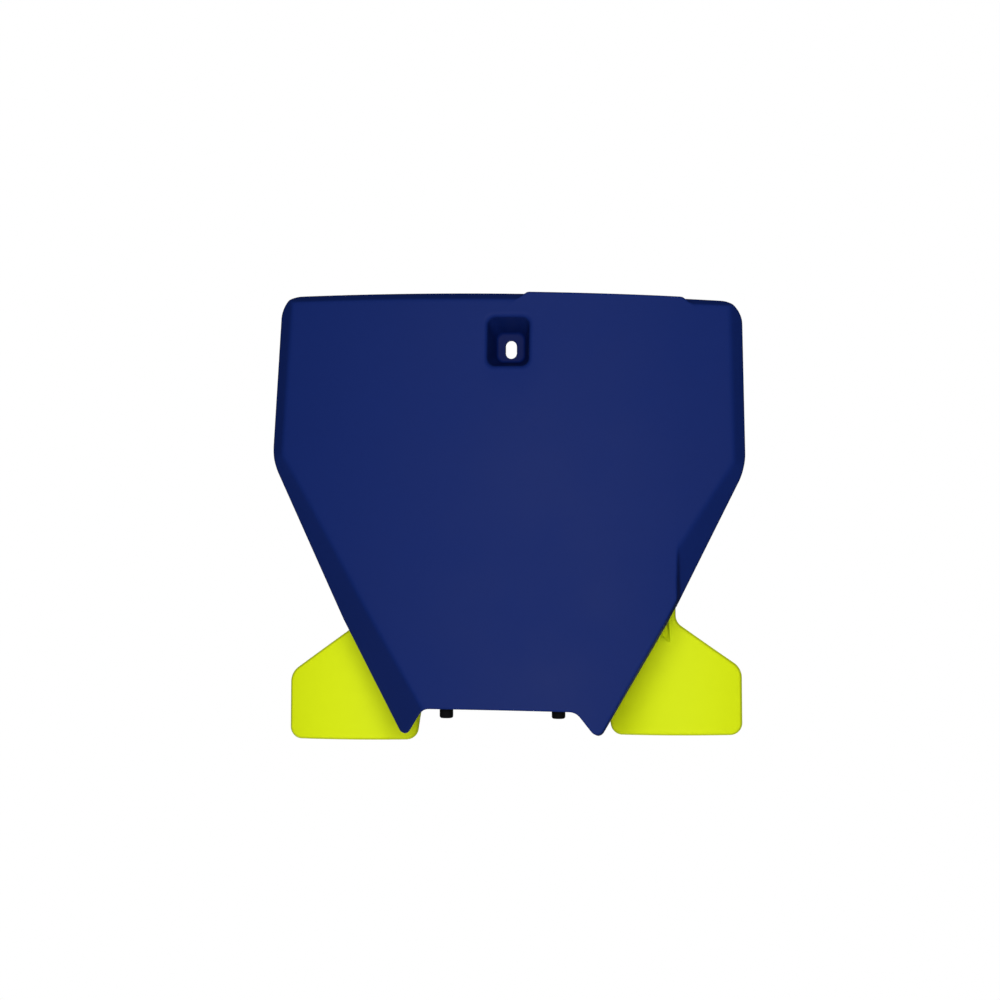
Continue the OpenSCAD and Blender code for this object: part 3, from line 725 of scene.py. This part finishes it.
def peg_sleeve(name, side, material):
    """A rubber sleeve over its post: round closed end below, plain bore and a soft mouth above."""
    low = -PEG_DROP
    end_r = 1.3
    turn = np.radians([0, 22.5, 45, 67.5, 90])
    end = [(SLEEVE_R - end_r * (1 - np.sin(a)), low + end_r * (1 - np.cos(a))) for a in turn]
    profile = [(0, low), *end, (SLEEVE_R, SHELF_Z - 0.4), (SLEEVE_R - 0.12, SHELF_Z - 0.12),
               (SLEEVE_R - 0.4, SHELF_Z), (SLEEVE_BORE + 0.35, SHELF_Z), (SLEEVE_BORE + 0.1, SHELF_Z - 0.12),
               (SLEEVE_BORE, SHELF_Z - 0.4), (SLEEVE_BORE, low + 2.4), (0, low + 2.4)]
    return turned(name, profile, lambda x, y, h: upright(side * PEG_X + x, PEG_Y + y, h), material,
                  steps=96)


def screw(name, x, s, material):
    """A pan-headed screw with a six-sided socket. The socket's radius at an angle is that of a
    hexagon: its flats stand at a fixed distance and its corners reach out between them."""
    steps = 96
    angle = 2 * np.pi * np.arange(steps) / steps
    hexagon = SOCKET_R * np.cos(np.pi / 6) / np.cos(angle % (np.pi / 3) - np.pi / 6)
    seat = BAR_N + SHEET
    top = seat + HEAD_H
    tip = seat - SCREW_LENGTH
    profile = [(0, tip), (SHANK_R - 0.5, tip), (SHANK_R, tip + 0.6), (SHANK_R, seat),
               (HEAD_R - 0.2, seat), (HEAD_R, seat + 0.2), (HEAD_R, top - 1.3), (HEAD_R - 0.15, top - 0.7),
               (HEAD_R - 0.6, top - 0.25), (HEAD_R - 1.3, top), (hexagon + 0.12, top), (hexagon, top - 0.12),
               (hexagon, seat + 1.1), (0, seat + 1.0)]
    return turned(name, profile, lambda u, v, h: leaned(x + u, h, s - v), material, steps=steps)


# Materials

# Noise scales are per metre and the depth of the grain is in metres. The well's tint is painted shade:
# it multiplies the colour inside the well, darkening it as shadow would.
CLOUD_SCALE = 14.0
PATCH_SCALE = 160.0
SCUFF_SCALE = 90.0
SCUFF_STRETCH = (1.0, 1.0, 14.0)
GRAIN_DEPTH = 0.00005
# painted shade: this tint darkens the colour inside the well as shadow would
PAINTED_SHADE_TINT = (0.25, 0.42, 0.60)
BLUE = (0.0056, 0.0178, 0.122)
BLUE_WORN = (0.016, 0.034, 0.19)
YELLOW = (0.70, 0.83, 0.007)
YELLOW_WORN = (0.72, 0.83, 0.03)
BLACK = (0.003, 0.003, 0.003)
STEEL = (0.55, 0.56, 0.58)


def noise(tree, scale, detail, stretch=(1.0, 1.0, 1.0)):
    """A soft noise over the object's own coordinates, stretched along its axes."""
    place = tree.nodes.new("ShaderNodeTexCoord")
    squeeze = tree.nodes.new("ShaderNodeMapping")
    squeeze.inputs["Scale"].default_value = stretch
    tree.links.new(place.outputs["Object"], squeeze.inputs["Vector"])
    field = tree.nodes.new("ShaderNodeTexNoise")
    field.inputs["Scale"].default_value = scale
    field.inputs["Detail"].default_value = detail
    tree.links.new(squeeze.outputs["Vector"], field.inputs["Vector"])
    return field.outputs["Fac"]


def between(tree, value, low, high, start=0.0, end=1.0):
    """Carries a value's range from start to end over to low to high."""
    span = tree.nodes.new("ShaderNodeMapRange")
    for part, number in (("From Min", start), ("From Max", end), ("To Min", low), ("To Max", high)):
        span.inputs[part].default_value = number
    tree.links.new(value, span.inputs["Value"])
    return span.outputs["Result"]


def combine(tree, kind, a, b):
    """One step of arithmetic on values or plain numbers."""
    step = tree.nodes.new("ShaderNodeMath")
    step.operation = kind
    for number, value in enumerate((a, b)):
        if isinstance(value, float):
            step.inputs[number].default_value = value
        else:
            tree.links.new(value, step.inputs[number])
    return step.outputs["Value"]


def point_number(tree, name):
    """A number that put_number gave to the points of a piece, and 0 on pieces without it."""
    field = tree.nodes.new("ShaderNodeAttribute")
    field.attribute_name = name
    return field.outputs["Fac"]


def blended(tree, kind, colour, other, share):
    """A colour blended with a fixed other one by a share."""
    mix = tree.nodes.new("ShaderNodeMix")
    mix.data_type = "RGBA"
    mix.blend_type = kind
    mix.inputs["B"].default_value = (*other, 1)
    tree.links.new(colour, mix.inputs["A"])
    tree.links.new(share, mix.inputs["Factor"])
    return mix.outputs["Result"]


def surface(name, colour, roughness, grain, shade, worn=None, metal=0.0, level=0.06, grain_size=0.4):
    """A moulded or plated surface. A slow noise shifts its shade and gloss, a fine one of grain_size
    millimetres is its bump, and sparse fine lines are scuffs. The wear attribute polishes it and
    pales it along turned edges, and inside the well its colour is darkened by painted shade."""
    material = bpy.data.materials.new(name)
    material.use_nodes = True
    tree = material.node_tree
    nodes, links = tree.nodes, tree.links
    shader = nodes["Principled BSDF"]
    cloud = noise(tree, CLOUD_SCALE, 3.0)
    spots = between(tree, noise(tree, PATCH_SCALE, 4.0), 0.0, 1.0, 0.35, 0.65)
    patch = combine(tree, "MULTIPLY", point_number(tree, "wear"), spots)

    tint = nodes.new("ShaderNodeValToRGB")
    dim, bright = tint.color_ramp.elements
    dim.position = 0.3
    dim.color = (*(np.array(colour) * (1 - shade)), 1)
    bright.position = 0.7
    bright.color = (*(np.array(colour) * (1 + shade)), 1)
    links.new(cloud, tint.inputs["Fac"])
    pale = blended(tree, "MIX", tint.outputs["Color"], colour if worn is None else worn,
                   combine(tree, "MULTIPLY", patch, 0.5))
    # painted shade: the colour inside the well is multiplied darker, as shadow would make it
    with_painted_shade = blended(tree, "MULTIPLY", pale, PAINTED_SHADE_TINT, point_number(tree, "painted_shade_share"))
    links.new(with_painted_shade, shader.inputs["Base Color"])

    scuff = between(tree, noise(tree, SCUFF_SCALE, 2.0, SCUFF_STRETCH), 0.0, 1.0, 0.70, 0.74)
    gloss = between(tree, cloud, roughness - 0.05, roughness + 0.05, 0.3, 0.7)
    gloss = combine(tree, "ADD", gloss, combine(tree, "MULTIPLY", scuff, 0.08))
    gloss = combine(tree, "SUBTRACT", gloss, combine(tree, "MULTIPLY", patch, 0.12))
    links.new(gloss, shader.inputs["Roughness"])

    bump = nodes.new("ShaderNodeBump")
    bump.inputs["Strength"].default_value = grain
    bump.inputs["Distance"].default_value = GRAIN_DEPTH
    grains = noise(tree, 1000.0 / grain_size, 2.0)
    height = combine(tree, "SUBTRACT", grains, combine(tree, "MULTIPLY", scuff, 0.3))
    links.new(height, bump.inputs["Height"])
    links.new(bump.outputs["Normal"], shader.inputs["Normal"])
    shader.inputs["Metallic"].default_value = metal
    shader.inputs["IOR"].default_value = 1.46
    shader.inputs["Specular IOR Level"].default_value = level
    return material


blue = surface("blue_moulded_plastic", BLUE, 0.55, 0.22, 0.02, worn=BLUE_WORN)
yellow = surface("yellow_moulded_plastic", YELLOW, 0.55, 0.22, 0.012, worn=YELLOW_WORN)
black = surface("black_rubber", BLACK, 0.75, 0.35, 0.1, grain_size=0.25)
steel = surface("plated_steel", STEEL, 0.3, 0.15, 0.03, metal=1.0, level=0.5, grain_size=0.15)

DRESSED = (
    ("front_plate", "face_plastic", [face_board(blue), *face_fittings(blue)]),
    ("rear_bracket", "bracket_plastic",
     [wing("left_wing", -1, yellow), wing("right_wing", 1, yellow), *bracket_frame(yellow)]),
    ("left_peg_sleeve", "sleeve_rubber", [peg_sleeve("left_rubber_sleeve", -1, black)]),
    ("right_peg_sleeve", "sleeve_rubber", [peg_sleeve("right_rubber_sleeve", 1, black)]),
    ("bracket_screws", "screw_steel",
     [screw(f"{where}_{level}_screw", side * SCREW_X, s, steel)
      for side, where in SIDE_NAMES for s, level in zip(SCREW_S, LEVEL_NAMES)]),
)
for node, material_slot, made in DRESSED:
    for piece in made:
        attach(piece, "root")
        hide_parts(node)


# Floor, light and camera

# Metres and watts. Each lamp has its place, width, height and power, and faces LIT.
FLOOR = ((-3, -2.6, -0.9), (3, -2.6, -0.9), (3, 3.0, -0.9), (-3, 3.0, -0.9))
LAMPS = (
    ("front_softbox", (0.13, -2.0, 0.1), 0.9, 0.8, 31.0),
    ("upper_strip", (0.0, -0.7, 0.12), 1.2, 0.15, 1.2),
    ("rear_softbox", (-0.4, 2.0, -0.1), 1.0, 1.0, 25.0),
)
LIT = Vector((0, 0, -0.08))
SKY_LIGHT = 0.04
SKY_SEEN = 1.0
FOCAL_LENGTH = 112.68
CAMERA_SPOT = Vector((0.16901, -1.82662, -0.08783))
CAMERA_AIM = Vector((-0.00351, -0.03491, -0.08783))


def floor():
    """A pale floor well below the part."""
    mesh = bpy.data.meshes.new("studio_floor")
    mesh.from_pydata(FLOOR, [], [(0, 1, 2, 3)])
    slab = bpy.data.objects.new("studio_floor", mesh)
    bpy.context.scene.collection.objects.link(slab)
    pale = bpy.data.materials.new("pale_floor")
    pale.use_nodes = True
    shader = pale.node_tree.nodes["Principled BSDF"]
    shader.inputs["Base Color"].default_value = (0.8, 0.8, 0.8, 1)
    shader.inputs["Roughness"].default_value = 0.9
    mesh.materials.append(pale)


def background():
    """A background that the camera sees as white but that lights the part little."""
    world = bpy.data.worlds.new("white_studio")
    bpy.context.scene.world = world
    world.use_nodes = True
    nodes, links = world.node_tree.nodes, world.node_tree.links
    white = nodes["Background"]
    white.inputs["Color"].default_value = (1, 1, 1, 1)
    path = nodes.new("ShaderNodeLightPath")
    level = nodes.new("ShaderNodeMapRange")
    level.inputs["To Min"].default_value = SKY_LIGHT
    level.inputs["To Max"].default_value = SKY_SEEN
    links.new(path.outputs["Is Camera Ray"], level.inputs["Value"])
    links.new(level.outputs["Result"], white.inputs["Strength"])


def lamps():
    """A broad lamp in front, a faint strip nearer the part and level with its top, and a lamp behind."""
    for name, spot, wide, high, power in LAMPS:
        light = bpy.data.lights.new(name, "AREA")
        light.shape = "RECTANGLE"
        light.size = wide
        light.size_y = high
        light.energy = power
        lamp = bpy.data.objects.new(name, light)
        lamp.location = spot
        lamp.rotation_euler = (LIT - Vector(spot)).to_track_quat("-Z", "Y").to_euler()
        bpy.context.scene.collection.objects.link(lamp)


def camera():
    """The camera of the photograph: level, 5.5 degrees round to the right, 1.8 metres away."""
    lens = bpy.data.cameras.new("camera")
    lens.sensor_width = 36.0
    lens.lens = FOCAL_LENGTH
    eye = bpy.data.objects.new("camera", lens)
    eye.location = CAMERA_SPOT
    eye.rotation_euler = (CAMERA_AIM - CAMERA_SPOT).to_track_quat("-Z", "Y").to_euler()
    bpy.context.scene.collection.objects.link(eye)
    bpy.context.scene.camera = eye


floor()
background()
lamps()
camera()
bpy.context.scene.view_settings.view_transform = "Standard"
